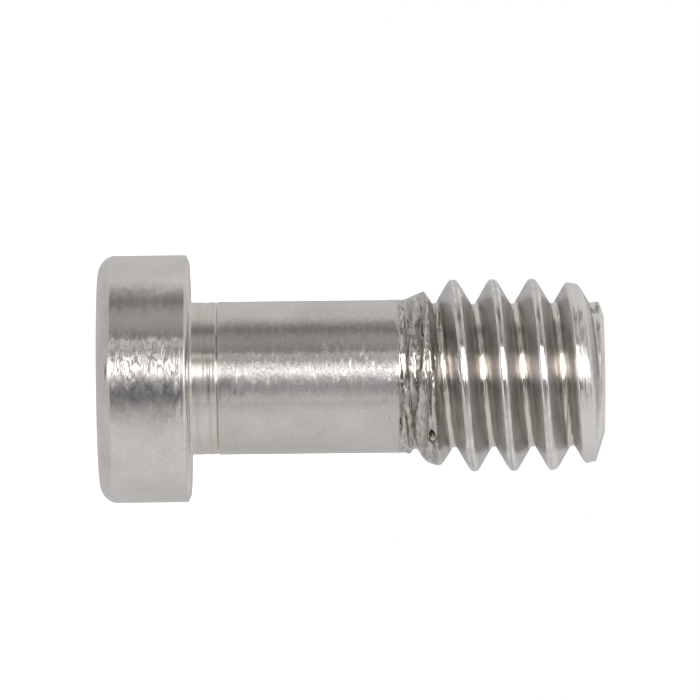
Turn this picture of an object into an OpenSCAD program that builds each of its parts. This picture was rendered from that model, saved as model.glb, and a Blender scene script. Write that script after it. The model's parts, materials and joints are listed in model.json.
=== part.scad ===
// Camera mounting screw: one turned piece with a flat cylindrical head, a plain shank that keeps the screw
// captive in a plate, and a short 1/4"-20 thread. It stands on the end of its head, with its axis along +Z.

/* [Head] */
// Diameter of the head
head_d = 8.0; // [7:0.1:12]
// Height of the head, from its end face to the bearing face
head_h = 2.94; // [2.6:0.02:6]
// Height of the rounded edge round the end face
head_edge_h = 0.48; // [0.1:0.02:0.6]
// Width of the rounded edge round the end face
head_edge_w = 0.6; // [0.1:0.05:0.8]
// Height of the chamfer at the rim of the bearing face
rim_chamfer_h = 0.15; // [0.05:0.05:0.4]
// Width of the chamfer at the rim of the bearing face
rim_chamfer_w = 0.2; // [0.05:0.05:0.4]

/* [Hex socket] */
// Width of the socket across its flats
socket_af = 4.0; // [2.5:0.1:4.5]
// Depth of the socket's flats
socket_depth = 1.8; // [1:0.1:2.2]
// Width of the countersink past the socket's corners
socket_lead = 0.1; // [0.05:0.05:0.3]
// Included angle of the drill point below the flats
drill_angle = 130; // [118:1:150]

/* [Shank] */
// Diameter of the shank
shank_d = 4.95; // [4.6:0.05:5.6]
// Length from the bearing face to the foot of the thread's shoulder
shank_len = 6.92; // [3:0.01:20]
// Diameter of the necked band under the head
neck_d = 4.93; // [4.4:0.01:5.6]
// Length of the necked band
neck_len = 0.9; // [0.5:0.05:2]
// Radius of the fillet under the head
fillet_r = 0.1; // [0.05:0.05:0.4]

/* [Thread] */
// Diameter over the thread's crests
thread_d = 6.2; // [5.8:0.05:6.6]
// Length from the foot of the shoulder to the tip
thread_len = 6.44; // [4:0.01:20]
// Rise of the thread in one turn
pitch = 1.27; // [0.9:0.01:1.4]
// Angle between the flanks of the groove
flank_angle = 60; // [55:1:65]
// Width of the flat left on a crest
crest_flat = 0.18; // [0.08:0.01:0.3]
// Width of the flat at a root
root_flat = 0.18; // [0.08:0.01:0.3]
// Slope of the shoulder between the shank and the crests
shoulder_angle = 23; // [15:1:45]
// Height above the foot of the shoulder at which the groove first has its full depth
groove_start = 0.33; // [0.1:0.01:1]
// Share of a turn over which the groove runs out below that height
run_out_turns = 0.5; // [0.25:0.05:1]
// Direction about the axis in which the groove first has its full depth
groove_direction = 0; // [0:5:355]

/* [Tip] */
// Length of the lead-in cone
lead_len = 1.5; // [0.5:0.05:2.5]
// Slope of the lead-in cone
lead_angle = 11; // [5:0.5:15]
// Length of the chamfer at the end
point_len = 0.28; // [0.1:0.02:0.8]
// Diameter of the flat at the end
point_d = 3.8; // [2:0.1:4.4]

/* [Hidden] */

// Facets in one turn of a round surface, of an edge arc and of the groove
$fn = 72;
arc_facets = 32;
groove_steps = 48;
// How far a cut or a join reaches past the surface that it meets
reach = 0.05;

// Radii
head_r = head_d / 2;
neck_r = neck_d / 2;
shank_r = shank_d / 2;
thread_r = thread_d / 2;
lead_r = thread_r - lead_len * tan(lead_angle);
point_r = point_d / 2;

// Heights along the axis, from the end face of the head
neck_z = head_h + neck_len;
shoulder_z = head_h + shank_len;
crest_z = shoulder_z + (thread_r - shank_r) / tan(shoulder_angle);
tip_z = shoulder_z + thread_len;
point_z = tip_z - point_len;
lead_z = point_z - lead_len;

// The arc round the end of the head is tangent to the end face and meets the side of the head at an edge
head_edge_r = (head_edge_w * head_edge_w + head_edge_h * head_edge_h) / (2 * head_edge_h);

// Socket
socket_corner_d = socket_af / cos(30);
socket_mouth_d = socket_corner_d + 2 * socket_lead;
drill_depth = socket_af / 2 / tan(drill_angle / 2);

// Groove
flank_slope = tan(flank_angle / 2);
groove_depth = (pitch - crest_flat - root_flat) / 2 / flank_slope;
root_r = thread_r - groove_depth;
groove_top_r = thread_r + reach;
groove_z = shoulder_z + groove_start;
groove_lift = max(shank_r - root_r, 0) + reach;
groove_turns = ceil((tip_z + pitch - groove_z) / pitch * groove_steps) / groove_steps;

// Height of the groove's bottom above the root, at a turn counted from where the groove has its full depth
function lift_at(turn) = turn < 0 ? groove_lift * (1 - cos(180 * turn / run_out_turns)) / 2 : 0;

// Corners of the groove's section at a turn: both ends of the root, then both ends of the open side
function groove_ring(turn) =
    let (
        angle = groove_direction + 360 * turn,
        z = groove_z + pitch * turn,
        bottom_r = root_r + lift_at(turn),
        bottom = root_flat / 2,
        top = bottom + (groove_top_r - bottom_r) * flank_slope
    )
    [
        for (corner = [[bottom_r, -bottom], [bottom_r, bottom], [groove_top_r, top], [groove_top_r, -top]])
            [corner[0] * cos(angle), corner[0] * sin(angle), z + corner[1]]
    ];

// Waste outside the rounded edge at the end of the head
module head_edge_waste() {
    difference() {
        translate([head_r - head_edge_w, -reach])
            square([head_edge_w + reach, head_edge_h + reach]);
        translate([head_r - head_edge_w, head_edge_r])
            circle(head_edge_r, $fn = arc_facets);
    }
}

// Metal in the corner between the bearing face and the neck
module underhead_fillet() {
    difference() {
        translate([neck_r - reach, head_h - reach])
            square(fillet_r + reach);
        translate([neck_r + fillet_r, head_h + fillet_r])
            circle(fillet_r, $fn = arc_facets);
    }
}

// Half of the section that is turned from the bar, before the thread is cut
module turned_section() {
    difference() {
        polygon([
            [0, 0],
            [head_r, 0],
            [head_r, head_h - rim_chamfer_h],
            [head_r - rim_chamfer_w, head_h],
            [neck_r, head_h],
            [neck_r, neck_z],
            [shank_r, neck_z],
            [shank_r, shoulder_z],
            [thread_r, crest_z],
            [thread_r, lead_z],
            [lead_r, point_z],
            [point_r, tip_z],
            [0, tip_z]
        ]);
        head_edge_waste();
    }
    underhead_fillet();
}

// Hex socket with a countersunk mouth and the drill's point at its bottom
module socket_cut() {
    translate([0, 0, -reach])
        cylinder(h = socket_depth + reach, d = socket_corner_d, $fn = 6);
    cylinder(h = (socket_mouth_d - socket_af) / 2, d1 = socket_mouth_d, d2 = socket_af);
    translate([0, 0, socket_depth])
        cylinder(h = drill_depth, d1 = socket_af, d2 = 0);
}

// Groove of the thread, swept up a right-hand helix from its run-out on the shank to past the tip
module groove_cut() {
    first = -round(run_out_turns * groove_steps);
    last = groove_turns * groove_steps;
    rings = [for (i = [first : last]) groove_ring(i / groove_steps)];
    corners = len(rings[0]);
    points = [for (ring = rings) each ring];
    sides = [
        for (i = [0 : len(rings) - 2], j = [0 : corners - 1])
            let (
                a = i * corners + j,
                b = i * corners + (j + 1) % corners
            )
            each [[a, b + corners, b], [a, a + corners, b + corners]]
    ];
    end = len(points) - corners;
    caps = [
        [for (j = [0 : corners - 1]) j],
        [for (j = [corners - 1 : -1 : 0]) end + j]
    ];
    polyhedron(points, concat(sides, caps), convexity = 10);
}

module mounting_screw() {
    color("#b9b6b0")
        difference() {
            rotate_extrude()
                turned_section();
            socket_cut();
            groove_cut();
        }
}

mounting_screw();
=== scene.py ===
"""Camera mounting screw, turned from stainless steel, standing on its head on a white studio floor."""
import json
import math

import bpy
from mathutils import Matrix, Vector


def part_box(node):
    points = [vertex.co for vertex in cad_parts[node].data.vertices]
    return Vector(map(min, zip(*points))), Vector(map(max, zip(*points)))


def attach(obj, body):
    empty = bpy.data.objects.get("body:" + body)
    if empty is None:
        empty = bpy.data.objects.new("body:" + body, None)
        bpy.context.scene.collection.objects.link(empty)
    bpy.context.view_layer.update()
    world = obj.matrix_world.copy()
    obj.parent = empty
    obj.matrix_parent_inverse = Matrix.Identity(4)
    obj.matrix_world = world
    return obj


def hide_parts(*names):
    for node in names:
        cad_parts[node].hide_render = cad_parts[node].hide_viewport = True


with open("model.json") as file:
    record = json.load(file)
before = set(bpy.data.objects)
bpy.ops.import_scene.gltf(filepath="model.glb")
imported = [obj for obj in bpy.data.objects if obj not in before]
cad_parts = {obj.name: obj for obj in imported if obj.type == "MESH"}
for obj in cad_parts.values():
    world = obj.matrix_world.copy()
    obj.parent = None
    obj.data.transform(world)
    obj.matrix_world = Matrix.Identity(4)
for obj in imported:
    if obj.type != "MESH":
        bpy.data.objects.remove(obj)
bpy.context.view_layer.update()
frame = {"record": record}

SCREW = "mounting_screw"
MM = 0.001

# Sizes of the screw in millimetres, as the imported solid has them
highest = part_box(SCREW)[1]
mounts = {mount["name"]: mount for mount in frame["record"]["mounts"]}
head_r = highest[0] / MM
tip_z = highest[2] / MM
head_h = mounts["bearing_face"]["pos_m"][2] / MM
shank_r = mounts["captive_shank"]["dims"]["r_mm"]
thread_r = mounts["thread"]["dims"]["r_mm"]
thread_len = mounts["thread"]["dims"]["length_mm"]
socket_depth = mounts["hex_socket"]["dims"]["length_mm"]

head_edge_h = 0.48
head_edge_w = 0.6
rim_chamfer_h = 0.15
rim_chamfer_w = 0.2
socket_af = 4.0
socket_lead = 0.1
drill_angle = math.radians(130)
neck_r = 2.465
neck_len = 0.9
fillet_r = 0.1
pitch = 1.27
crest_flat = 0.18
root_flat = 0.18
flank_slope = math.tan(math.radians(30))
shoulder_angle = math.radians(23)
groove_start = 0.33
run_out_turns = 0.5
run_out_reach = 0.05
lead_len = 1.5
lead_angle = math.radians(11)
point_len = 0.28
point_r = 1.9

rim_z = head_h - rim_chamfer_h
neck_z = head_h + neck_len
shoulder_z = tip_z - thread_len
crest_z = shoulder_z + (thread_r - shank_r) / math.tan(shoulder_angle)
point_z = tip_z - point_len
lead_z = point_z - lead_len
lead_r = thread_r - lead_len * math.tan(lead_angle)
root_r = thread_r - (pitch - crest_flat - root_flat) / 2 / flank_slope
groove_z = shoulder_z + groove_start
groove_lift = shank_r - root_r + run_out_reach
socket_mouth_r = socket_af / 2 / math.cos(math.radians(30)) + socket_lead
drill_depth = socket_af / 2 / math.tan(drill_angle / 2)

# The thread's rows start on the plain shank, this far below the shoulder
foot_len = 0.5
foot_z = shoulder_z - foot_len

# Columns round the screw: a multiple of twelve puts one on each corner and each middle of the hex socket
COLUMNS = 252
# Steps along the drill point, the head's rounded edge, the shank, the chamfer at the tip and the tip's flat
DRILL_STEPS, HEAD_EDGE_STEPS, SHANK_STEPS, POINT_STEPS, TIP_STEPS = 4, 14, 10, 16, 4
# The arc of an eased edge has about one step for this angle
EASE_STEP = math.radians(15)

# Rows across the end of the head, up its side and on the bearing face, in millimetres
END_ROWS = (2.8, 3.2)
SIDE_ROWS = (head_edge_h + 0.03, head_edge_h + 0.06, 1.2, 2.0, rim_z - 0.14)
BEARING_ROW = 3.3
# The row between the ends of the socket's flats, as a share of their depth
SOCKET_ROW = 0.55
# A shallow ring below the rim of the bearing face: height, half width and depth
RIM_RING = (rim_z - 0.075, 0.036, 0.0038)
# A rounded bead at that rim: how far in from the head's side and how far above the chamfer's foot each row is
RIM_BEAD = ((0, -0.012), (0.002, 0.02), (0.007, 0.045), (0.015, 0.06))
RIM_EASE = 0.05
# Low steps that the tool left in the neck: height, half width and the depth that follows
NECK_STEPS = ((3.401, 0.035, 0.0085), (3.571, 0.050, 0.0), (3.721, 0.032, 0.0065))
# The ring that ends the neck: height, half width and depth
NECK_RING = (neck_z - 0.02, 0.030, 0.018)
# Distances of the rows past the fillet, beside a step and past the neck
PAST_FILLET, BESIDE_STEP, PAST_NECK = 0.02, 0.008, (0.04, 0.2)
# Rows of half a turn of the thread, from the middle of the root, closer together on the root and on the crest
HALF_TURN_ROWS = (
    0, 0.025, 0.05, 0.075, 0.10, 0.13, 0.165, 0.20, 0.24, 0.28, 0.32, 0.36, 0.40, 0.43, 0.46,
    0.48, 0.50, 0.515, 0.53, 0.545, 0.56, 0.575, 0.59, 0.605, 0.62)
# Stretches of the head's edges and of the neck that the tool has burnished
BURNISHED = ((0.30, 0.50), (2.70, 2.86), (2.95, 3.90))
# What may shape a row of the section
ROW_SHAPES = ("hexed", "mouth", "climbs", "cut", "burnished")

# Nodes and settings that are used often
MATH, RANGE, MIX, NOISE = "ShaderNodeMath", "ShaderNodeMapRange", "ShaderNodeMix", "ShaderNodeTexNoise"
VECTOR, SPLIT, JOIN = "ShaderNodeVectorMath", "ShaderNodeSeparateXYZ", "ShaderNodeCombineXYZ"
TURN, MAPPING, SAMPLE = "ShaderNodeVectorRotate", "ShaderNodeMapping", "GeometryNodeSampleIndex"
SMOOTH = {"interpolation_type": "SMOOTHSTEP"}


def add(tree, kind, inputs=(), **settings):
    """Adds a node with its settings, gives each input a value or a link, and returns the outputs."""
    node = tree.nodes.new(kind)
    for name, value in settings.items():
        setattr(node, name, value)
    for socket, value in inputs.items() if isinstance(inputs, dict) else enumerate(inputs):
        if isinstance(value, bpy.types.NodeSocket):
            tree.links.new(value, node.inputs[socket])
        else:
            node.inputs[socket].default_value = value
    return node.outputs


def linear(hex_colour):
    """Turns an sRGB hex colour to a linear one."""
    parts = [int(hex_colour[i:i + 2], 16) / 255 for i in (1, 3, 5)]
    return (*[c / 12.92 if c <= 0.04045 else ((c + 0.055) / 1.055) ** 2.4 for c in parts], 1.0)


def pattern_scale(length, width):
    """Scale of a pattern from its length round the screw's axis and its width along it, in millimetres."""
    return 1 / (length * MM), 1 / (length * MM), 1 / (width * MM)


# The turned section

def eased(corners):
    """Points along a section through corners of (r, z, edge radius), with each edge eased by its radius."""
    points = []
    for i, (r, z, radius) in enumerate(corners):
        here = Vector((r, z))
        if not radius:
            points.append(here)
            continue
        back = (Vector(corners[i - 1][:2]) - here).normalized()
        ahead = (Vector(corners[i + 1][:2]) - here).normalized()
        half = back.angle(ahead) / 2
        middle = here + (back + ahead).normalized() * radius / math.sin(half)
        first = here + back * radius / math.tan(half) - middle
        last = here + ahead * radius / math.tan(half) - middle
        sweep = first.angle_signed(last)
        steps = max(2, round(abs(sweep) / EASE_STEP))
        points += [middle + Matrix.Rotation(-sweep * k / steps, 2) @ first for k in range(steps + 1)]
    return points


def tool_ring(r, z, half_width, depth):
    """A fine ring that the point of the turning tool leaves, with a row in the middle of each wall."""
    return [(r - depth * (1 - abs(k) / 2), z + half_width * k / 2, 0) for k in (-2, -1, 0, 1, 2)]


def section_rows():
    """Rows of the half section, from the bottom of the socket round to the tip: r, z and what shapes each."""
    rows = []

    def take(points, **shapes):
        for r, z in points:
            burnished = any(start <= z <= end for start, end in BURNISHED)
            rows.append((r, z, {"burnished": burnished, **shapes}))

    # The drill point, the hex socket and the end of the head
    take([(socket_af / 2 * k / DRILL_STEPS, socket_depth + drill_depth * (1 - k / DRILL_STEPS))
          for k in range(DRILL_STEPS + 1)], burnished=1)
    take([(0, socket_depth), (0, socket_depth * SOCKET_ROW)], hexed=1, burnished=1)
    take([(0, 0)], hexed=1, mouth=1, burnished=1)
    take([(r, 0) for r in (socket_mouth_r, *END_ROWS)])
    edge_r = (head_edge_w ** 2 + head_edge_h ** 2) / 2 / head_edge_h
    sweep = math.acos((edge_r - head_edge_h) / edge_r)
    for k in range(HEAD_EDGE_STEPS + 1):
        angle = sweep * k / HEAD_EDGE_STEPS - math.pi / 2
        take([(head_r - head_edge_w + edge_r * math.cos(angle), edge_r + edge_r * math.sin(angle))])

    # The side of the head, the rim and the bearing face
    side = [(head_r, z, 0) for z in SIDE_ROWS]
    side += tool_ring(head_r, *RIM_RING)
    side += [(head_r - inward, rim_z + above, 0) for inward, above in RIM_BEAD]
    side += [(head_r - rim_chamfer_w, head_h, RIM_EASE), (BEARING_ROW, head_h, 0)]

    # The fillet, the neck and the plain shank
    side += [(neck_r, head_h, fillet_r), (neck_r, head_h + fillet_r + PAST_FILLET, 0)]
    below = neck_r
    for z, half_width, depth in NECK_STEPS:
        above = neck_r - depth
        side += [(below, z - half_width - BESIDE_STEP, 0), (below, z - half_width, 0)]
        side += [((below + above) / 2, z, 0)]
        side += [(above, z + half_width, 0), (above, z + half_width + BESIDE_STEP, 0)]
        below = above
    side += tool_ring(below, *NECK_RING)
    side += [(shank_r, neck_z + past, 0) for past in PAST_NECK]
    side += [(shank_r, neck_z + (foot_z - neck_z) * k / SHANK_STEPS, 0) for k in range(1, SHANK_STEPS + 1)]
    take(eased(side))

    # The turns of the thread
    one_turn = [-w for w in reversed(HALF_TURN_ROWS[1:])] + [*HALF_TURN_ROWS, pitch / 2]
    first_turn = math.floor((foot_z - groove_z) / pitch) - 1
    last_turn = math.ceil((point_z - groove_z) / pitch)
    for k in range(first_turn, last_turn + 1):
        heights = [groove_z + pitch * k + w for w in one_turn]
        take([(shank_r, z) for z in heights if foot_z - pitch < z < point_z], climbs=1, cut=1)

    # The chamfer and the flat at the tip
    take([(lead_r + (point_r - lead_r) * k / POINT_STEPS, point_z + point_len * k / POINT_STEPS)
          for k in range(POINT_STEPS + 1)], cut=1)
    take([(point_r * k / TIP_STEPS, tip_z) for k in reversed(range(TIP_STEPS))])
    return rows


def section_wire():
    """The section's rows as the points of a wire, which carry how each row is shaped."""
    rows = section_rows()
    mesh = bpy.data.meshes.new("screw_section")
    mesh.from_pydata([(r * MM, 0, z * MM) for r, z, shapes in rows], [], [])
    for shape in ROW_SHAPES:
        values = mesh.attributes.new(shape, "FLOAT", "POINT").data
        for value, (r, z, shapes) in zip(values, rows):
            value.value = shapes.get(shape, 0)
    return bpy.data.objects.new(SCREW + "_finished", mesh)


# The turning and the thread

# The eased flat of the root is this much narrower than the cutter's, on each side, in millimetres
root_trim = 0.01

SIZES = {
    "Pitch": pitch * MM,
    "Groove Height": groove_z * MM,
    "Root Radius": root_r * MM,
    "Root Half Flat": (root_flat / 2 - root_trim) * MM,
    "Flank Rise": 1 / flank_slope,
    "Run-out Lift": groove_lift * MM,
    "Run-out Turns": run_out_turns,
    "First Turn Lift": 0.04 * MM,
    "Shank Radius": shank_r * MM,
    "Crest Radius": thread_r * MM,
    "Lead Radius": lead_r * MM,
    "Foot Height": foot_z * MM,
    "Shoulder Height": shoulder_z * MM,
    "Crest Height": crest_z * MM,
    "Lead Height": lead_z * MM,
    "Point Height": point_z * MM,
    "Socket Half Width": socket_af / 2 * MM,
    "Socket Mouth Radius": socket_mouth_r * MM,
    "Root Ease": 0.05 * MM,
    "Crest Ease": 0.17 * MM,
    "Crest Seam Depth": 0.008 * MM,
    "Crest Seam Width": 0.030 * MM,
    "Seam Wander": 0.10 * MM,
    "Torn Relief": 0.07 * MM,
    "Cutter Chatter": 0.002 * MM,
    "Blunt Height": 0.02 * MM,
    "Wear Seed": 3.0,
}

# Turns of the thread between which a feature comes or goes: the shallow first turn, the blunt sliver of a
# crest at the tip, the oily roots and the rubbed edges of the crests with their painted highlight
SHALLOW_TURNS, BLUNT_TURNS, LAST_ROOT = (0.55, 1.0), (4.30, 4.45), (4.2, 4.3)
FIRST_RUBBED_HIGHLIGHT, LAST_RUBBED_HIGHLIGHT = (0.0, 0.2), (3.0, 3.2)
# Distances from a crest's middle between which its rubbed edges and their painted highlight start and end
RUBBED_HIGHLIGHT_FROM, RUBBED_HIGHLIGHT_TO = (0.02 * MM, 0.05 * MM), (0.10 * MM, 0.13 * MM)
# Distances from the middle of a root at which it ends, the painted shade of its corners starts and ends, and
# the flank starts
ROOT_TO, FLANK_FROM = (0.09 * MM, 0.14 * MM), (0.095 * MM, 0.125 * MM)
CORNER_FROM, CORNER_TO, CORNER_SHADE = (0.10 * MM, 0.125 * MM), (0.15 * MM, 0.22 * MM), 0.7
# Depths below the blank at which the flank and the bottom of the groove start
FLANK_DEPTH, BOTTOM_DEPTH = (0.08 * MM, 0.16 * MM), (0.15 * MM, 0.30 * MM)
# Heights between which the first turn is torn
TORN_FROM, TORN_TO = (9.60 * MM, 9.75 * MM), (10.75 * MM, 11.25 * MM)
# Relief between which a torn place and a mark get painted shade
HOLLOW_RELIEF, PIT_RELIEF = (-0.07 * MM, 0.03 * MM), (-0.22 * MM, -0.12 * MM)

# Sizes of the wear in millimetres: the seam's bends and its breaks, patches of rubbed edge with a painted
# highlight, breaks in the scores, the cutter's chatter, and the torn ridges' length and width
SEAM_BEND, SEAM_BREAK, RUBBED_HIGHLIGHT_PATCH, SCORE_BREAK, CHATTER_LEN = 1.1, 1.0, 0.4, 0.6, 0.22
RIDGE_LEN, RIDGE_WIDTH = 0.9, 0.2
# Noise levels at which the seam, the rubbed edges' painted highlight and the scores come in, and how far they
# do
SEAM_LEVELS, RUBBED_HIGHLIGHT_LEVELS, SCORE_LEVELS = (0.25, 0.5), (0.38, 0.64, 0.05, 0.8), (0.35, 0.6, 0.2, 1.0)
# Levels of the noise that leave the surface where it is
RIDGE_LEVEL, CHATTER_LEVEL = 0.55, 0.6

# The torn shoulder is stepped: height of the first riser in front, its lean to one side, the steps' length,
# how far the ridges shift a riser, and how high it is, in millimetres
STEP_Z, STEP_LEAN, STEP_LEN, STEP_SHIFT = 9.92, 0.27, 0.43, 0.25
STEP_RISE = STEP_LEN * math.tan(shoulder_angle) * 0.8
# Share of a step between which its riser stands
RISER = (0.36, 0.64)
# Scores that the cutter left round the shoulder: height in front, climb in a turn, half width and depth, in
# millimetres
SCORES = [
    (9.67, 0.45, 0.045, 0.03),
    (10.00, 1.00, 0.050, 0.04),
    (10.24, 1.15, 0.040, 0.03),
    (10.58, 1.27, 0.045, 0.04),
]
# Shares of a turn at which the front is, and between which the scores start and end
FRONT, SCORES_FROM, SCORES_TO = 0.75, (0.02, 0.10), (0.93, 0.99)
# How far a score strays from its line
SCORE_STRAY = 0.12
# Marks on the thread: direction in degrees, then height, length round the axis, width along it and relief in
# millimetres
MARKS = [
    (313.5, 10.72, 0.31, 0.100, -0.42),
    (313.5, 10.87, 0.30, 0.045, 0.08),
    (300.0, 10.62, 1.00, 0.070, 0.05),
    (350.0, 11.06, 1.30, 0.180, -0.15),
    (204.0, 16.06, 0.42, 0.170, -0.24),
    (204.0, 16.06, 0.18, 0.070, 0.12),
]
# A mark fades out at this many times its length and width
MARK_FADE = 1.3

# Points closer than this are one, and an edge sharper than this is crisp
CLOSE, CRISP = 0.0003 * MM, math.radians(40)


def crest_wear(tree, size, worn, turns):
    """The depth of a seam that wanders along the crest, and the painted highlight of the rubbing beside it.
    """
    wander = add(tree, NOISE, {**worn, "Scale": 1 / (SEAM_BEND * MM)}, noise_dimensions="4D")[0]
    wander = add(tree, RANGE, [wander, 0.0, 1.0, -0.5, 0.5])[0]
    wander = add(tree, MATH, [wander, size["Seam Wander"]], operation="MULTIPLY")[0]
    wander = add(tree, MATH, [wander, size["Pitch"]], operation="DIVIDE")[0]
    aside = add(tree, MATH, [turns, wander], operation="ADD")[0]
    aside = add(tree, MATH, [aside, 1.0], operation="FLOORED_MODULO")[0]
    aside = add(tree, MATH, [aside, 0.5], operation="SUBTRACT")[0]
    aside = add(tree, MATH, [aside], operation="ABSOLUTE")[0]
    aside = add(tree, MATH, [aside, size["Pitch"]], operation="MULTIPLY")[0]
    seam = add(tree, RANGE, [aside, 0.0, size["Crest Seam Width"], 1.0, 0.0], **SMOOTH)[0]
    depth = add(tree, NOISE, {**worn, "Scale": 1 / (SEAM_BREAK * MM)}, noise_dimensions="4D")[0]
    depth = add(tree, RANGE, [depth, *SEAM_LEVELS, 0.0, size["Crest Seam Depth"]])[0]
    seam = add(tree, MATH, [seam, depth], operation="MULTIPLY")[0]

    # Patches of rubbing along both edges of the crest, which the steel's colour lightens as a painted
    # highlight
    patches = add(tree, NOISE, {
        **worn, "Scale": 1 / (RUBBED_HIGHLIGHT_PATCH * MM), "Detail": 1.0}, noise_dimensions="4D")[0]
    rubbed = add(tree, RANGE, [aside, *RUBBED_HIGHLIGHT_FROM, 0.0, 1.0])[0]
    for limit in (
        add(tree, RANGE, [aside, *RUBBED_HIGHLIGHT_TO, 1.0, 0.0])[0],
        add(tree, RANGE, [turns, *FIRST_RUBBED_HIGHLIGHT, 0.0, 1.0])[0],
        add(tree, RANGE, [turns, *LAST_RUBBED_HIGHLIGHT, 1.0, 0.0])[0],
        add(tree, RANGE, [patches, *RUBBED_HIGHLIGHT_LEVELS])[0],
    ):
        rubbed = add(tree, MATH, [rubbed, limit], operation="MULTIPLY")[0]
    return seam, rubbed


def torn_turn(tree, size, worn, angle, share, height):
    """The relief of the first turn, which the cutter tore into ridges, and where it is torn."""
    torn = add(tree, RANGE, [height, *TORN_FROM, 0.0, 1.0], **SMOOTH)[0]
    torn_end = add(tree, RANGE, [height, *TORN_TO, 1.0, 0.0], **SMOOTH)[0]
    torn = add(tree, MATH, [torn, torn_end], operation="MULTIPLY")[0]
    ridge_place = add(tree, VECTOR, [
        worn["Vector"], pattern_scale(RIDGE_LEN, RIDGE_WIDTH)], operation="MULTIPLY")[0]
    ridges = add(tree, NOISE, {
        **worn, "Vector": ridge_place, "Scale": 1.0, "Detail": 3.0, "Roughness": 0.6,
    }, noise_dimensions="4D")[0]
    ridges = add(tree, MATH, [ridges, RIDGE_LEVEL], operation="SUBTRACT")[0]
    relief = add(tree, MATH, [ridges, size["Torn Relief"]], operation="MULTIPLY")[0]

    # Risers between short lands break the shoulder's slope
    lean = add(tree, MATH, [angle], operation="COSINE")[0]
    lean = add(tree, MATH, [lean, STEP_LEAN * MM], operation="MULTIPLY")[0]
    step = add(tree, MATH, [height, lean], operation="ADD")[0]
    step = add(tree, MATH, [ridges, STEP_SHIFT * MM, step], operation="MULTIPLY_ADD")[0]
    step = add(tree, RANGE, [step, STEP_Z * MM, (STEP_Z + STEP_LEN) * MM, 0.5, 1.5], clamp=False)[0]
    step = add(tree, MATH, [step, 1.0], operation="FLOORED_MODULO")[0]
    riser = add(tree, RANGE, [step, *RISER, 0.0, 1.0], **SMOOTH)[0]
    riser = add(tree, MATH, [riser, step], operation="SUBTRACT")[0]
    facing = add(tree, MATH, [angle], operation="SINE")[0]
    facing = add(tree, MATH, [facing], operation="ABSOLUTE")[0]
    riser = add(tree, MATH, [riser, facing], operation="MULTIPLY")[0]
    relief = add(tree, MATH, [riser, STEP_RISE * MM, relief], operation="MULTIPLY_ADD")[0]

    # The scores stray and break off, and fade out at the back, where the turn starts and ends
    front = add(tree, RANGE, [share, *SCORES_FROM, 0.0, 1.0], **SMOOTH)[0]
    front_end = add(tree, RANGE, [share, *SCORES_TO, 1.0, 0.0], **SMOOTH)[0]
    front = add(tree, MATH, [front, front_end], operation="MULTIPLY")[0]
    broken = add(tree, NOISE, {**worn, "Scale": 1 / (SCORE_BREAK * MM), "Detail": 1.0}, noise_dimensions="4D")
    strength = add(tree, RANGE, [broken["Fac"], *SCORE_LEVELS])[0]
    strength = add(tree, MATH, [strength, front], operation="MULTIPLY")[0]
    astray = add(tree, SPLIT, [broken["Color"]])["Y"]
    astray = add(tree, RANGE, [astray, 0.0, 1.0, -SCORE_STRAY * MM, SCORE_STRAY * MM])[0]
    from_front = add(tree, MATH, [share, FRONT], operation="SUBTRACT")[0]
    for score_z, climb, half_width, depth in SCORES:
        line = add(tree, MATH, [from_front, climb * MM, astray], operation="MULTIPLY_ADD")[0]
        line = add(tree, MATH, [line, score_z * MM], operation="ADD")[0]
        off = add(tree, MATH, [height, line], operation="SUBTRACT")[0]
        off = add(tree, MATH, [off], operation="ABSOLUTE")[0]
        score = add(tree, RANGE, [off, 0.0, half_width * MM, -depth * MM, 0.0], **SMOOTH)[0]
        relief = add(tree, MATH, [score, strength, relief], operation="MULTIPLY_ADD")[0]
    return relief, torn


def single_marks(tree, angle, height):
    """The relief of a pit with a raised lip in the first turn, and of a dimple where the groove ends."""
    marks = 0.0
    for degrees, mark_z, length, width, relief in MARKS:
        round_axis = add(tree, MATH, [angle, math.radians(degrees)], operation="SUBTRACT")[0]
        round_axis = add(tree, MATH, [round_axis, math.pi, -math.pi], operation="WRAP")[0]
        round_axis = add(tree, MATH, [round_axis, thread_r / length], operation="MULTIPLY")[0]
        along_axis = add(tree, MATH, [height, mark_z * MM], operation="SUBTRACT")[0]
        along_axis = add(tree, MATH, [along_axis, 1 / (width * MM)], operation="MULTIPLY")[0]
        off = add(tree, JOIN, [round_axis, along_axis, 0.0])[0]
        off = add(tree, VECTOR, [off], operation="LENGTH")["Value"]
        mark = add(tree, RANGE, [off, 0.0, MARK_FADE, relief * MM, 0.0], **SMOOTH)[0]
        marks = add(tree, MATH, [marks, mark], operation="ADD")[0]
    return marks


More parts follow.
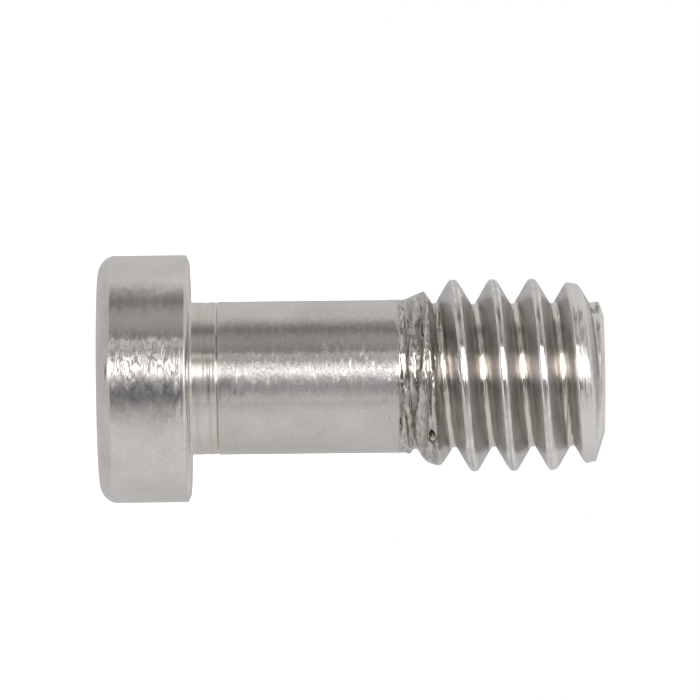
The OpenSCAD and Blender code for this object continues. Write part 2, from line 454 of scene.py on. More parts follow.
def screw_tree():
    """Turns the section round the axis, draws the hex socket and cuts the thread's groove along its helix."""
    tree = bpy.data.node_groups.new("turned_and_threaded_screw", "GeometryNodeTree")
    tree.interface.new_socket("Section", in_out="INPUT", socket_type="NodeSocketGeometry")
    for name in SIZES:
        tree.interface.new_socket(name, in_out="INPUT", socket_type="NodeSocketFloat")
    tree.interface.new_socket("Columns", in_out="INPUT", socket_type="NodeSocketInt")
    tree.interface.new_socket("Steel", in_out="INPUT", socket_type="NodeSocketMaterial")
    tree.interface.new_socket("Screw", in_out="OUTPUT", socket_type="NodeSocketGeometry")
    size = add(tree, "NodeGroupInput")

    # A sheet with one column for each direction and one row for each point of the section
    rows = add(tree, "GeometryNodeAttributeDomainSize", [size["Section"]], component="MESH")["Point Count"]
    columns = add(tree, "FunctionNodeIntegerMath", [size["Columns"], 1], operation="ADD")[0]
    sheet = add(tree, "GeometryNodeMeshGrid", [1.0, 1.0, columns, rows])["Mesh"]
    position = add(tree, "GeometryNodeInputPosition")[0]
    place = add(tree, SPLIT, [position])
    share = add(tree, MATH, [place["X"], 0.5], operation="ADD")[0]
    angle = add(tree, MATH, [share, math.tau], operation="MULTIPLY")[0]
    last_row = add(tree, MATH, [rows, 1.0], operation="SUBTRACT")[0]
    row = add(tree, RANGE, [place["Y"], -0.5, 0.5, 0.0, last_row])[0]
    row = add(tree, "FunctionNodeFloatToInt", [row], rounding_mode="ROUND")[0]
    point = add(tree, SAMPLE, [size["Section"], position, row], data_type="FLOAT_VECTOR")[0]
    point = add(tree, SPLIT, [point])
    shape = {}
    for name in ROW_SHAPES:
        value = add(tree, "GeometryNodeInputNamedAttribute", [name], data_type="FLOAT")[0]
        shape[name] = add(tree, SAMPLE, [size["Section"], value, row], data_type="FLOAT")[0]

    # The thread's rows climb by one pitch in a turn, between the plain shank and the chamfer at the tip
    climb = add(tree, MATH, [share, size["Pitch"]], operation="MULTIPLY")[0]
    climbed = add(tree, MATH, [point["Z"], climb], operation="ADD")[0]
    climbed = add(tree, "ShaderNodeClamp", [climbed, size["Foot Height"], size["Point Height"]])[0]
    height = add(tree, MIX, {0: shape["climbs"], 2: point["Z"], 3: climbed})[0]

    # The blank: a sloped shoulder, the crests' cylinder and the lead-in cone
    shoulder = add(tree, RANGE, [
        height, size["Shoulder Height"], size["Crest Height"], size["Shank Radius"], size["Crest Radius"]])[0]
    lead = add(tree, RANGE, [
        height, size["Lead Height"], size["Point Height"], size["Crest Radius"], size["Lead Radius"]])[0]
    blank = add(tree, MATH, [shoulder, lead], operation="MINIMUM")[0]
    blank = add(tree, MIX, {0: shape["climbs"], 2: point["X"], 3: blank})[0]
    on_blank = add(tree, JOIN, [blank, 0.0, height])[0]
    on_blank = add(tree, TURN, {"Vector": on_blank, "Angle": angle}, rotation_type="Z_AXIS")[0]
    worn = {"Vector": on_blank, "W": size["Wear Seed"]}

    # The groove: distance from its middle, flank above the root, and the run-out on the shank
    above = add(tree, MATH, [height, size["Groove Height"]], operation="SUBTRACT")[0]
    above = add(tree, MATH, [above, climb], operation="SUBTRACT")[0]
    turns = add(tree, MATH, [above, size["Pitch"]], operation="DIVIDE")[0]
    whole = add(tree, MATH, [turns], operation="ROUND")[0]
    side = add(tree, MATH, [turns, whole], operation="SUBTRACT")[0]
    aside = add(tree, MATH, [side], operation="ABSOLUTE")[0]
    aside = add(tree, MATH, [aside, size["Pitch"]], operation="MULTIPLY")[0]
    flank = add(tree, MATH, [aside, size["Root Half Flat"]], operation="SUBTRACT")[0]
    flank = add(tree, MATH, [flank, 0.0, size["Root Ease"]], operation="SMOOTH_MAX")[0]
    turn = add(tree, MATH, [whole, share], operation="ADD")[0]
    start = add(tree, MATH, [size["Run-out Turns"], -1.0], operation="MULTIPLY")[0]
    lift = add(tree, RANGE, [turn, start, 0.0, size["Run-out Lift"], 0.0], **SMOOTH)[0]
    shallow = add(tree, RANGE, [turn, *SHALLOW_TURNS, size["First Turn Lift"], 0.0], **SMOOTH)[0]
    lift = add(tree, MATH, [lift, shallow], operation="ADD")[0]
    bottom = add(tree, MATH, [size["Root Radius"], lift], operation="ADD")[0]
    groove = add(tree, MATH, [flank, size["Flank Rise"], bottom], operation="MULTIPLY_ADD")[0]
    # The sliver of a crest past the groove's end at the tip is blunt
    past = add(tree, RANGE, [turn, *BLUNT_TURNS, 0.0, 1.0])[0]
    upper = add(tree, MATH, [side, 0.0], operation="GREATER_THAN")[0]
    past = add(tree, MATH, [past, upper], operation="MULTIPLY")[0]
    blunt = add(tree, MATH, [bottom, size["Blunt Height"]], operation="ADD")[0]
    blunt = add(tree, MATH, [groove, blunt], operation="MINIMUM")[0]
    groove = add(tree, MIX, {0: past, 2: groove, 3: blunt})[0]
    cut = add(tree, MATH, [blank, groove, size["Crest Ease"]], operation="SMOOTH_MIN")[0]

    # The wear: a seam along the crest, the torn first turn, a light chatter of the cutter, and single marks
    seam, rubbed = crest_wear(tree, size, worn, turns)
    cut = add(tree, MATH, [cut, seam], operation="SUBTRACT")[0]
    relief, torn = torn_turn(tree, size, worn, angle, share, height)
    cut = add(tree, MATH, [relief, torn, cut], operation="MULTIPLY_ADD")[0]
    chatter = add(tree, NOISE, {
        **worn, "Scale": 1 / (CHATTER_LEN * MM), "Detail": 1.0}, noise_dimensions="4D")[0]
    chatter = add(tree, MATH, [chatter, CHATTER_LEVEL], operation="SUBTRACT")[0]
    cut = add(tree, MATH, [chatter, size["Cutter Chatter"], cut], operation="MULTIPLY_ADD")[0]
    marks = single_marks(tree, angle, height)
    cut = add(tree, MATH, [cut, marks], operation="ADD")[0]
    cut = add(tree, MATH, [cut, size["Crest Radius"]], operation="MINIMUM")[0]
    radius = add(tree, MIX, {0: shape["cut"], 2: blank, 3: cut})[0]

    # Where the flanks, the roots and the hollows with painted shade are, for the finish
    deep = add(tree, MATH, [blank, groove], operation="SUBTRACT")[0]
    flanks = add(tree, RANGE, [aside, *FLANK_FROM, 0.0, 1.0])[0]
    flanks_end = add(tree, RANGE, [deep, *FLANK_DEPTH, 0.0, 1.0])[0]
    flanks = add(tree, MATH, [flanks, flanks_end], operation="MULTIPLY")[0]
    at_bottom = add(tree, RANGE, [deep, *BOTTOM_DEPTH, 0.0, 1.0])[0]
    roots = add(tree, RANGE, [aside, *ROOT_TO, 1.0, 0.0])[0]
    roots = add(tree, MATH, [roots, at_bottom], operation="MULTIPLY")[0]
    roots_end = add(tree, RANGE, [turn, *LAST_ROOT, 1.0, 0.0])[0]
    roots = add(tree, MATH, [roots, roots_end], operation="MULTIPLY")[0]
    corners = add(tree, RANGE, [aside, *CORNER_FROM, 0.0, CORNER_SHADE])[0]
    corners_end = add(tree, RANGE, [aside, *CORNER_TO, 1.0, 0.0])[0]
    corners = add(tree, MATH, [corners, corners_end], operation="MULTIPLY")[0]
    corners = add(tree, MATH, [corners, at_bottom], operation="MULTIPLY")[0]
    # Painted shade in the pits, in the torn turn's hollows and in the roots' corners
    pits = add(tree, RANGE, [marks, *PIT_RELIEF, 1.0, 0.0])[0]
    hollow_shades = add(tree, RANGE, [relief, *HOLLOW_RELIEF, 1.0, 0.0])[0]
    hollow_shades = add(tree, MATH, [hollow_shades, torn], operation="MULTIPLY")[0]
    hollow_shades = add(tree, MATH, [hollow_shades, pits], operation="MAXIMUM")[0]
    hollow_shades = add(tree, MATH, [hollow_shades, corners], operation="MAXIMUM")[0]
    finishes = {"burnished": shape["burnished"]}
    on_thread = {"flank": flanks, "root": roots, "rubbed": rubbed, "torn": torn, "hollow": hollow_shades}
    for name, value in on_thread.items():
        finishes[name] = add(tree, MATH, [value, shape["cut"]], operation="MULTIPLY")[0]

    # The hex socket: flats at an even distance from the axis, and a countersink that meets them in curves
    corner = add(tree, MATH, [angle, math.tau / 6], operation="FLOORED_MODULO")[0]
    corner = add(tree, MATH, [corner, math.tau / 12], operation="SUBTRACT")[0]
    corner = add(tree, MATH, [corner], operation="COSINE")[0]
    hexed = add(tree, MATH, [size["Socket Half Width"], corner], operation="DIVIDE")[0]
    radius = add(tree, MIX, {0: shape["hexed"], 2: radius, 3: hexed})[0]
    mouth = add(tree, MATH, [size["Socket Mouth Radius"], hexed], operation="SUBTRACT")[0]
    height = add(tree, MIX, {0: shape["mouth"], 2: height, 3: mouth})[0]

    # The sheet is rolled up, closed along its seam and at both ends, and gets its steel
    spot = add(tree, JOIN, [radius, 0.0, height])[0]
    spot = add(tree, TURN, {"Vector": spot, "Angle": angle}, rotation_type="Z_AXIS")[0]
    screw = sheet
    for name, value in finishes.items():
        screw = add(tree, "GeometryNodeStoreNamedAttribute", [
            screw, True, name, value], data_type="FLOAT", domain="POINT")[0]
    screw = add(tree, "GeometryNodeSetPosition", [screw, True, spot])[0]
    screw = add(tree, "GeometryNodeMergeByDistance", {"Geometry": screw, "Distance": CLOSE})[0]
    screw = add(tree, "GeometryNodeSetShadeSmooth", [screw, True, True], domain="FACE")[0]
    bend = add(tree, "GeometryNodeInputMeshEdgeAngle")["Unsigned Angle"]
    crisp = add(tree, "FunctionNodeCompare", [bend, CRISP], data_type="FLOAT", operation="GREATER_THAN")[0]
    screw = add(tree, "GeometryNodeSetShadeSmooth", [screw, crisp, False], domain="EDGE")[0]
    screw = add(tree, "GeometryNodeRealizeInstances", [screw])[0]
    screw = add(tree, "GeometryNodeSetMaterial", [screw, True, size["Steel"]])[0]
    add(tree, "NodeGroupOutput", [screw])
    return tree


# Turned and tumbled stainless steel

# The mesh carries where each of these lies
FINISHES = ("flank", "root", "rubbed", "torn", "hollow", "burnished")
# Heights between which the neck, the shank, the thread and the lead-in cone start
NECK_FROM, SHANK_FROM = (3.05 * MM, 3.15 * MM), (3.80 * MM, 3.90 * MM)
THREAD_FROM, TIP_FROM = (10.9 * MM, 11.2 * MM), (14.3 * MM, 14.7 * MM)

# Patterns in millimetres, length round the axis and width along it: strokes of the turning tool on the head
# and on the shank, scratches and crinkles of the torn turn, and fine tool lines
STROKES, FINE_STROKES = (0.42, 0.17), (0.30, 0.13)
SCRATCHES, CRINKLES, TOOL_LINES = (0.30, 0.09), (0.25, 0.12), (2.5, 0.08)
# Grain of the tumbled surface, and slow changes of its tone, in millimetres
GRAIN, CLOUD = 0.07, 1.5

# Dark and light tone of each finish, and single tones
HEAD_TONES, SHANK_TONES = ("#c5c1bc", "#d4d0cd"), ("#bcb8b3", "#cbc7c4")
# The flanks' darker tones are painted shade in the groove
TORN_TONES, FLANK_SHADE_TONES = ("#aca7a1", "#d5d1cb"), ("#aeaaa7", "#cdc9c6")
# The rubbed tone is a painted highlight, the tip tone a painted sheen and the hollow tone painted shade
SPECK_TONE, TIP_SHEEN_TONE, RUBBED_HIGHLIGHT_TONE, HOLLOW_SHADE_TONE = "#f2f0ee", "#d9d5d1", "#ebe9e5", "#837d76"
OILY_NECK_TONE, OILY_ROOT_TONE = "#bdb5a8", "#cfcac1"

# Levels of the noise that make a pattern, and how far each tints the steel
STROKE_LEVELS, LINE_LEVELS = (0.3, 0.7), (0.38, 0.62)
SPECKLE_GRAIN, SPECKLE_LEVELS = 0.6, (0.55, 1.05)
SPECK_LEVELS, SPECK_TINT, LINE_TINT = (0.64, 0.75), 0.22, 0.6

# Roughness of the head from stroke to stroke, what the shank adds to it, and that of the thread's finishes
STROKE_ROUGHNESS, SHANK_DULLNESS = (0.11, 0.17), 0.06
CREST_ROUGHNESS, TORN_ROUGHNESS, FLANK_ROUGHNESS = 0.10, 0.12, 0.27

# Depth of the relief and lean of the strokes, on the head and the torn turn, then on the shank and the thread
RELIEF_DEPTH, STROKE_LEAN = (0.015 * MM, 0.008 * MM), (0.22, 0.30)
# Parts of the grain, the crinkles and the roots' lines in the relief, beside the strokes
GRAIN_PART, CRINKLE_PART, LINE_PART = 0.07, 1.2, 8.0
# How far the flanks and the thread are smoothed, and what is left of the relief where all is smooth
FLANK_SMOOTHED, THREAD_SMOOTHED, SMOOTH_RELIEF = 0.9, 0.8, 0.15


def turned_stainless_steel():
    """Grey steel with a warm cast, whose highlights are broken by turning strokes and a tumbled grain."""
    material = bpy.data.materials.new("turned_stainless_steel")
    material.use_nodes = True
    tree = material.node_tree
    tree.nodes.clear()
    flank, root, rubbed, torn, hollow, burnished = [
        add(tree, "ShaderNodeAttribute", attribute_name=name)["Fac"] for name in FINISHES]
    coords = add(tree, "ShaderNodeTexCoord")["Object"]
    along = add(tree, SPLIT, [coords])["Z"]
    shank = add(tree, RANGE, [along, *SHANK_FROM, 0.0, 1.0])[0]
    neck = add(tree, RANGE, [along, *NECK_FROM, 0.0, 1.0])[0]
    neck = add(tree, MATH, [neck, shank], operation="SUBTRACT")[0]
    tip = add(tree, RANGE, [along, *TIP_FROM, 0.0, 1.0])[0]
    thread = add(tree, RANGE, [along, *THREAD_FROM, 0.0, 1.0])[0]
    thread = add(tree, MATH, [thread, tip], operation="SUBTRACT")[0]

    # Strokes of the turning tool, which are finer on the shank
    stroke_noise = {"Scale": 1.0, "Detail": 0.5, "Roughness": 0.5}
    stroke_place = add(tree, MAPPING, {"Vector": coords, "Scale": pattern_scale(*STROKES)})[0]
    strokes = add(tree, NOISE, {"Vector": stroke_place, **stroke_noise})[0]
    stroke_place = add(tree, MAPPING, {"Vector": coords, "Scale": pattern_scale(*FINE_STROKES)})[0]
    fine_strokes = add(tree, NOISE, {"Vector": stroke_place, **stroke_noise})[0]
    strokes = add(tree, MIX, {0: shank, 2: strokes, 3: fine_strokes})[0]
    roughness = add(tree, RANGE, [strokes, *STROKE_LEVELS, *STROKE_ROUGHNESS])[0]

    # The tumbled grain and slow changes of tone, on a shank that is a little duller than the head
    grain = add(tree, NOISE, {"Vector": coords, "Scale": 1 / (GRAIN * MM), "Detail": 1.0})[0]
    clouds = add(tree, NOISE, {"Vector": coords, "Scale": 1 / (CLOUD * MM), "Detail": 2.0})[0]
    speckle = add(tree, MATH, [grain, SPECKLE_GRAIN, clouds], operation="MULTIPLY_ADD")[0]
    speckle = add(tree, RANGE, [speckle, *SPECKLE_LEVELS, 0.0, 1.0])[0]
    head_tone, shank_tone, flank_shade_tone = [
        add(tree, MIX, {0: speckle, 6: linear(dark), 7: linear(light)}, data_type="RGBA")[2]
        for dark, light in (HEAD_TONES, SHANK_TONES, FLANK_SHADE_TONES)]
    colour = add(tree, MIX, {0: shank, 6: head_tone, 7: shank_tone}, data_type="RGBA")[2]
    roughness = add(tree, MATH, [shank, SHANK_DULLNESS, roughness], operation="MULTIPLY_ADD")[0]
    # Bright specks, one or two grains wide
    specks = add(tree, RANGE, [grain, *SPECK_LEVELS, 0.0, SPECK_TINT])[0]
    colour = add(tree, MIX, {0: specks, 6: colour, 7: linear(SPECK_TONE)}, data_type="RGBA")[2]

    # The crests are smooth, and the lead-in cone gets a lighter colour as a painted sheen
    roughness = add(tree, MIX, {0: thread, 2: roughness, 3: CREST_ROUGHNESS})[0]
    colour = add(tree, MIX, {0: tip, 6: colour, 7: linear(TIP_SHEEN_TONE)}, data_type="RGBA")[2]
    # The cutter scratched the torn turn and left the flanks of the thread satin, and the flanks' darker grey
    # is painted shade in the groove
    scratch_place = add(tree, MAPPING, {"Vector": coords, "Scale": pattern_scale(*SCRATCHES)})[0]
    scratches = add(tree, NOISE, {"Vector": scratch_place, "Scale": 1.0, "Detail": 1.5})[0]
    scratches = add(tree, RANGE, [scratches, *LINE_LEVELS, 0.0, 1.0])[0]
    dark, light = TORN_TONES
    torn_tone = add(tree, MIX, {0: scratches, 6: linear(dark), 7: linear(light)}, data_type="RGBA")[2]
    colour = add(tree, MIX, {0: torn, 6: colour, 7: torn_tone}, data_type="RGBA")[2]
    roughness = add(tree, MIX, {0: torn, 2: roughness, 3: TORN_ROUGHNESS})[0]
    colour = add(tree, MIX, {0: flank, 6: colour, 7: flank_shade_tone}, data_type="RGBA")[2]
    roughness = add(tree, MIX, {0: flank, 2: roughness, 3: FLANK_ROUGHNESS})[0]

    # Fine tool lines run round the neck, and cutting oil has left a warm cast there and in the roots
    line_place = add(tree, MAPPING, {"Vector": coords, "Scale": pattern_scale(*TOOL_LINES)})[0]
    lines = add(tree, NOISE, {"Vector": line_place, "Scale": 1.0, "Detail": 1.0})[0]
    neck_lines = add(tree, RANGE, [lines, *LINE_LEVELS, 0.0, LINE_TINT])[0]
    neck_lines = add(tree, MATH, [neck_lines, neck], operation="MULTIPLY")[0]
    colour = add(tree, MIX, {0: neck_lines, 6: colour, 7: linear(OILY_NECK_TONE)}, data_type="RGBA")[2]
    colour = add(tree, MIX, {0: root, 6: colour, 7: linear(OILY_ROOT_TONE)}, data_type="RGBA")[2]
    # The crests' rubbed edges are lighter as a painted highlight, and the hollows darker as painted shade
    colour = add(tree, MIX, {0: rubbed, 6: colour, 7: linear(RUBBED_HIGHLIGHT_TONE)}, data_type="RGBA")[2]
    colour = add(tree, MIX, {0: hollow, 6: colour, 7: linear(HOLLOW_SHADE_TONE)}, data_type="RGBA")[2]

    # The relief: strokes and grain all over, crinkles on the torn turn and tool lines along the roots
    crinkle_place = add(tree, MAPPING, {"Vector": coords, "Scale": pattern_scale(*CRINKLES)})[0]
    crinkles = add(tree, NOISE, {"Vector": crinkle_place, "Scale": 1.0, "Detail": 0.0})[0]
    crinkles = add(tree, MATH, [crinkles, torn], operation="MULTIPLY")[0]
    root_lines = add(tree, MATH, [lines, root], operation="MULTIPLY")[0]
    height = add(tree, MATH, [grain, GRAIN_PART, strokes], operation="MULTIPLY_ADD")[0]
    height = add(tree, MATH, [crinkles, CRINKLE_PART, height], operation="MULTIPLY_ADD")[0]
    height = add(tree, MATH, [root_lines, LINE_PART, height], operation="MULTIPLY_ADD")[0]
    smooth = add(tree, MATH, [flank, FLANK_SMOOTHED, burnished], operation="MULTIPLY_ADD")[0]
    smooth = add(tree, MATH, [thread, THREAD_SMOOTHED, smooth], operation="MULTIPLY_ADD")[0]
    strength = add(tree, RANGE, [smooth, 0.0, 1.0, 1.0, SMOOTH_RELIEF])[0]
    plain = add(tree, MATH, [shank, torn], operation="SUBTRACT")[0]
    depth = add(tree, RANGE, [plain, 0.0, 1.0, *RELIEF_DEPTH])[0]
    relief = add(tree, "ShaderNodeBump", {"Height": height, "Distance": depth, "Strength": strength})[0]
    # Each stroke leans its own way along the axis
    most = add(tree, RANGE, [plain, 0.0, 1.0, *STROKE_LEAN])[0]
    least = add(tree, MATH, [most, -1.0], operation="MULTIPLY")[0]
    lean = add(tree, RANGE, [strokes, 0.0, 1.0, least, most])[0]
    lean = add(tree, MATH, [lean, strength], operation="MULTIPLY")[0]
    lean = add(tree, JOIN, [0.0, 0.0, lean])[0]
    facing = add(tree, VECTOR, [relief, lean], operation="ADD")[0]
    facing = add(tree, VECTOR, [facing], operation="NORMALIZE")[0]
    shader = add(tree, "ShaderNodeBsdfPrincipled", {
        "Base Color": colour, "Roughness": roughness, "Normal": facing, "Metallic": 1.0})[0]
    add(tree, "ShaderNodeOutputMaterial", {"Surface": shader})
    return material


def finished_screw():
    """The screw as one plain mesh."""
    screw = section_wire()
    bpy.context.scene.collection.objects.link(screw)
    tree = screw_tree()
    turning = screw.modifiers.new("turning", "NODES")
    turning.node_group = tree
    values = {**SIZES, "Columns": COLUMNS, "Steel": turned_stainless_steel()}
    for socket in tree.interface.items_tree:
        if socket.in_out == "INPUT" and socket.name in values:
            turning[socket.identifier] = values[socket.name]
    graph = bpy.context.evaluated_depsgraph_get()
    turned = screw.evaluated_get(graph)
    mesh = bpy.data.meshes.new_from_object(turned, preserve_all_data_layers=True, depsgraph=graph)
    screw.modifiers.clear()
    screw.data = mesh
    return screw


# Studio

# Half the floor's width, and its level just under the head, in metres
FLOOR_HALF, FLOOR_LEVEL = 15.0, -0.02 * MM


def studio_floor():
    """A plain white floor under the head."""
    mesh = bpy.data.meshes.new("studio_floor")
    sides = ((-1, -1), (1, -1), (1, 1), (-1, 1))
    mesh.from_pydata([(x * FLOOR_HALF, y * FLOOR_HALF, FLOOR_LEVEL) for x, y in sides], [], [(0, 1, 2, 3)])
    floor = bpy.data.objects.new("studio_floor", mesh)
    bpy.context.scene.collection.objects.link(floor)
    # Matt white acrylic, lit from below so that the screw's shadow is faint
    material = bpy.data.materials.new("lit_white_acrylic")
    material.use_nodes = True
    tree = material.node_tree
    acrylic = tree.nodes["Principled BSDF"]
    acrylic.inputs["Base Color"].default_value = linear("#f4f4f4")
    acrylic.inputs["Roughness"].default_value = 0.9
    acrylic.inputs["Specular IOR Level"].default_value = 0.1
    acrylic.inputs["Emission Color"].default_value = linear("#ffffff")
    acrylic.inputs["Emission Strength"].default_value = 0.8
    # From below the floor is clear, so that the end of the head shows
    under = add(tree, "ShaderNodeNewGeometry")["Backfacing"]
    clear = add(tree, "ShaderNodeBsdfTransparent")[0]
    surface = add(tree, "ShaderNodeMixShader", {0: under, 1: acrylic.outputs[0], 2: clear})[0]
    tree.links.new(surface, tree.nodes["Material Output"].inputs["Surface"])
    mesh.materials.append(material)
    # The steel mirrors the tent on all sides, as it would on a stand, and not the floor
    floor.visible_glossy = False


# Brightness of the tent by direction round the screw's axis, in degrees: 0 is in front and 90 towards -X
TENT = [
    (-180, "#c4c4c4"), (-140, "#dadada"), (-100, "#ebebeb"), (-60, "#efefef"), (-46, "#e6e6e6"),
    (-36, "#cecece"), (-26, "#b4b4b2"), (-20, "#909092"), (-13, "#8a8992"), (-6, "#a7a6ae"),
    (0, "#c8c8c8"), (24, "#cecece"), (28, "#babab9"), (30.5, "#e6e6e1"), (36, "#fffffb"),
    (38.5, "#9c9c9c"), (42, "#9a9a9a"), (50, "#b2b2b2"), (60, "#bababa"), (68, "#adadad"),
    (75, "#8e8e8e"), (79, "#8e8e8e"), (86, "#aaaaaa"), (94, "#d2d2d2"), (104, "#e9e9e9"),
    (140, "#e2e2e2"), (180, "#c4c4c4"),
]
# Its plain cloth towards the top and the bottom, and above and below the grey cards, by rise in degrees
ENDS_FROM, ABOVE_FROM, ABOVE_TO, BELOW_TO = (55.0, 75.0), (15.0, 23.0), (32.0, 42.0), (-32.0, -20.0)
ABOVE_SHARE, BELOW_SHARE = 0.8, 0.9
CLOTH_TONE, LOW_CLOTH_TONE = "#ececec", "#dcdcdc"
# The bright panel: direction of its middle, its edges to both sides of it, its foot and its top, in degrees
PANEL_DIRECTION, PANEL_FROM, PANEL_TO = 12.0, (-14.5, -2.0), (-1.0, 15.0)
PANEL_FOOT, PANEL_TOP = (-50.0, -42.0), (58.0, 72.0)
PANEL_STRENGTH = 1.78
# It is wider above this rise, where a degree across counts for less
PANEL_WIDENS, PANEL_WIDE = (8.0, 20.0), 0.55
# A dark gap under the panel, and two dark bars across it and the cards beside it
GAP_FROM, GAP_TO, GAP_DEPTH = (-68.0, -60.0), (-54.0, -48.0), 0.8
BAR_FROM, BAR_TO, BAR_DEPTH = (4.0, 5.5), (9.0, 10.5), 0.45
CARDS_FROM, CARDS_TO = (-24.0, -12.0), (34.0, 46.0)


def studio_light():
    """Soft light from a white tent, with a front panel and grey cards beside it."""
    world = bpy.data.worlds.new("studio_tent")
    bpy.context.scene.world = world
    world.use_nodes = True
    tree = world.node_tree
    tree.nodes.clear()
    way = add(tree, SPLIT, [add(tree, "ShaderNodeTexCoord")["Generated"]])
    left = add(tree, MATH, [way["X"], -1.0], operation="MULTIPLY")[0]
    ahead = add(tree, MATH, [way["Y"], -1.0], operation="MULTIPLY")[0]
    turn = add(tree, MATH, [left, ahead], operation="ARCTAN2")[0]
    turn = add(tree, MATH, [turn], operation="DEGREES")[0]
    rise = add(tree, MATH, [way["Z"]], operation="ARCSINE")[0]
    rise = add(tree, MATH, [rise], operation="DEGREES")[0]
    off_level = add(tree, MATH, [rise], operation="ABSOLUTE")[0]

    # The tent's bands round the screw, and its plain cloth
    bands = add(tree, "ShaderNodeValToRGB", [add(tree, RANGE, [turn, -180.0, 180.0, 0.0, 1.0])[0]])[0]
    stops = bands.node.color_ramp.elements
    stops.remove(stops[1])
    for i, (degrees, tone) in enumerate(TENT):
        place = (degrees + 180) / 360
        stop = stops.new(place) if i else stops[0]
        stop.position = place
        stop.color = linear(tone)
    ends = add(tree, RANGE, [off_level, *ENDS_FROM, 0.0, 1.0], **SMOOTH)[0]
    above_cards = add(tree, RANGE, [rise, *ABOVE_FROM, 0.0, ABOVE_SHARE], **SMOOTH)[0]
    above_end = add(tree, RANGE, [rise, *ABOVE_TO, 1.0, 0.0], **SMOOTH)[0]
    above_cards = add(tree, MATH, [above_cards, above_end], operation="MULTIPLY")[0]
    cloth = add(tree, MATH, [ends, above_cards], operation="MAXIMUM")[0]
    tent = add(tree, MIX, {0: cloth, 6: bands, 7: linear(CLOTH_TONE)}, data_type="RGBA")[2]
    below_cards = add(tree, RANGE, [rise, *BELOW_TO, BELOW_SHARE, 0.0], **SMOOTH)[0]
    tent = add(tree, MIX, {0: below_cards, 6: tent, 7: linear(LOW_CLOTH_TONE)}, data_type="RGBA")[2]

    # The panel's width
    spread = add(tree, RANGE, [rise, *PANEL_WIDENS, 1.0, PANEL_WIDE], **SMOOTH)[0]
    across = add(tree, MATH, [turn, PANEL_DIRECTION], operation="SUBTRACT")[0]
    across = add(tree, MATH, [across, spread], operation="MULTIPLY")[0]
    panel = add(tree, RANGE, [across, *PANEL_FROM, 0.0, 1.0], **SMOOTH)[0]
    panel_end = add(tree, RANGE, [across, *PANEL_TO, 1.0, 0.0], **SMOOTH)[0]
    panel = add(tree, MATH, [panel, panel_end], operation="MULTIPLY")[0]

    # The gap and the bars
    gap = add(tree, RANGE, [rise, *GAP_FROM, 0.0, GAP_DEPTH], **SMOOTH)[0]
    gap_end = add(tree, RANGE, [rise, *GAP_TO, 1.0, 0.0], **SMOOTH)[0]
    gap = add(tree, MATH, [gap, gap_end], operation="MULTIPLY")[0]
    gap = add(tree, MATH, [gap, panel], operation="MULTIPLY")[0]
    bars = add(tree, RANGE, [off_level, *BAR_FROM, 0.0, 1.0], **SMOOTH)[0]
    bars_end = add(tree, RANGE, [off_level, *BAR_TO, 1.0, 0.0], **SMOOTH)[0]
    bars = add(tree, MATH, [bars, bars_end], operation="MULTIPLY")[0]
    beside = add(tree, RANGE, [turn, *CARDS_FROM, 0.0, BAR_DEPTH], **SMOOTH)[0]
    beside_end = add(tree, RANGE, [turn, *CARDS_TO, 1.0, 0.0], **SMOOTH)[0]
    beside = add(tree, MATH, [beside, beside_end], operation="MULTIPLY")[0]
    dark = add(tree, MATH, [bars, beside, gap], operation="MULTIPLY_ADD")[0]
    tent = add(tree, MIX, {0: dark, 6: tent, 7: linear("#000000")}, data_type="RGBA")[2]

    # The panel's height and brightness
    foot = add(tree, RANGE, [rise, *PANEL_FOOT, 0.0, PANEL_STRENGTH], **SMOOTH)[0]
    top = add(tree, RANGE, [rise, *PANEL_TOP, 1.0, 0.0], **SMOOTH)[0]
    between_bars = add(tree, RANGE, [bars, 0.0, 1.0, 1.0, 0.0])[0]
    for limit in (foot, top, between_bars):
        panel = add(tree, MATH, [panel, limit], operation="MULTIPLY")[0]
    light = add(tree, VECTOR, [tent, panel], operation="ADD")[0]
    # The tent itself is seen as plain white
    seen = add(tree, "ShaderNodeLightPath")["Is Camera Ray"]
    light = add(tree, MIX, {0: seen, 6: light, 7: linear("#ffffff")}, data_type="RGBA")[2]
    sky = add(tree, "ShaderNodeBackground", {"Color": light})[0]
    add(tree, "ShaderNodeOutputWorld", {"Surface": sky})


# Soft lights close to the screw: direction round the axis in degrees, then height, width and length along the
# axis in millimetres, and radiance
LIGHTS = {
    # Draws longer highlights on the thread than on the head and the shank
    "thread_strip": (12.5, 14.0, 5.2, 5.2, 3.0),
    # Lightens the shank below its highlight
    "shank_card": (-11.0, 6.6, 7.0, 7.4, 0.23),
}
LIGHT_DISTANCE = 9 * MM


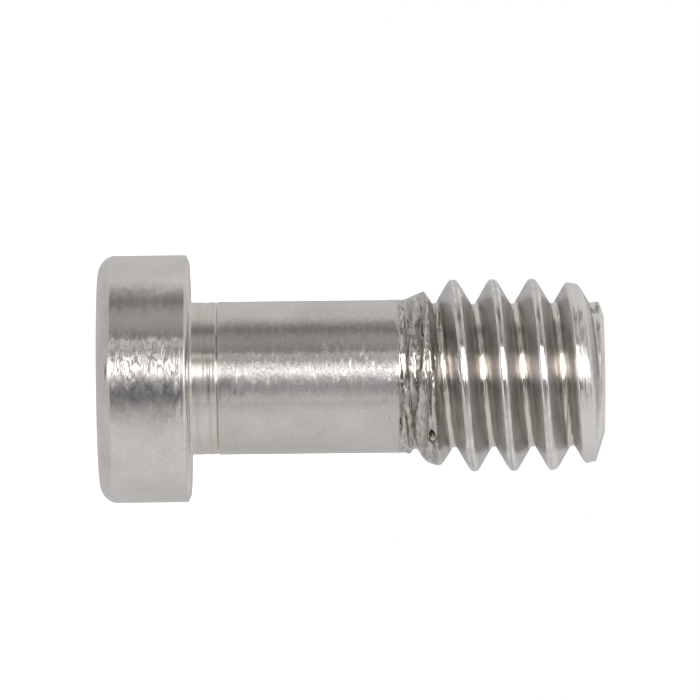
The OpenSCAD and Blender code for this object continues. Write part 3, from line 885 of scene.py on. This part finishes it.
def close_lights():
    """Small soft lights in front of the thread and the shank."""
    along = Vector((0, 0, 1))
    for name, (degrees, z, width, length, radiance) in LIGHTS.items():
        away = Vector((-math.sin(math.radians(degrees)), -math.cos(math.radians(degrees)), 0))
        data = bpy.data.lights.new(name, "AREA")
        data.shape = "RECTANGLE"
        data.size, data.size_y = width * MM, length * MM
        data.energy = radiance * math.pi * data.size * data.size_y
        light = bpy.data.objects.new(name, data)
        axes = Matrix((along.cross(away), along, away)).transposed().to_4x4()
        light.matrix_world = Matrix.Translation(away * LIGHT_DISTANCE + along * z * MM) @ axes
        light.visible_camera = False
        bpy.context.scene.collection.objects.link(light)


# The camera's distance, its rise above level, its tilt, and the point that it looks at
CAMERA_DISTANCE, CAMERA_RISE, CAMERA_TILT = 270 * MM, math.radians(0.3), math.radians(0.65)
CAMERA_AIM = Vector((-0.863, 0, 8.109)) * MM
PIXELS_PER_MM, IMAGE_PX = 30.94, 700
SENSOR_WIDTH = 36


def studio_camera():
    """Camera at the side of the screw, turned so that the axis lies level with the tip to the right."""
    back = Vector((0, -math.cos(CAMERA_RISE), math.sin(CAMERA_RISE)))
    along = Vector((0, math.sin(CAMERA_RISE), math.cos(CAMERA_RISE)))
    across = Vector((-1, 0, 0))
    right = along * math.cos(CAMERA_TILT) - across * math.sin(CAMERA_TILT)
    up = along * math.sin(CAMERA_TILT) + across * math.cos(CAMERA_TILT)
    data = bpy.data.cameras.new("studio_camera")
    data.sensor_width = SENSOR_WIDTH
    data.lens = SENSOR_WIDTH * PIXELS_PER_MM * CAMERA_DISTANCE / MM / IMAGE_PX
    data.clip_start, data.clip_end = 0.01, 100
    camera = bpy.data.objects.new("studio_camera", data)
    axes = Matrix((right, up, back)).transposed().to_4x4()
    camera.matrix_world = Matrix.Translation(CAMERA_AIM + back * CAMERA_DISTANCE) @ axes
    bpy.context.scene.collection.objects.link(camera)
    bpy.context.scene.camera = camera


screw = finished_screw()
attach(screw, "root")
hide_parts(SCREW)

studio_floor()
studio_light()
close_lights()
studio_camera()
bpy.context.scene.view_settings.view_transform = "Standard"
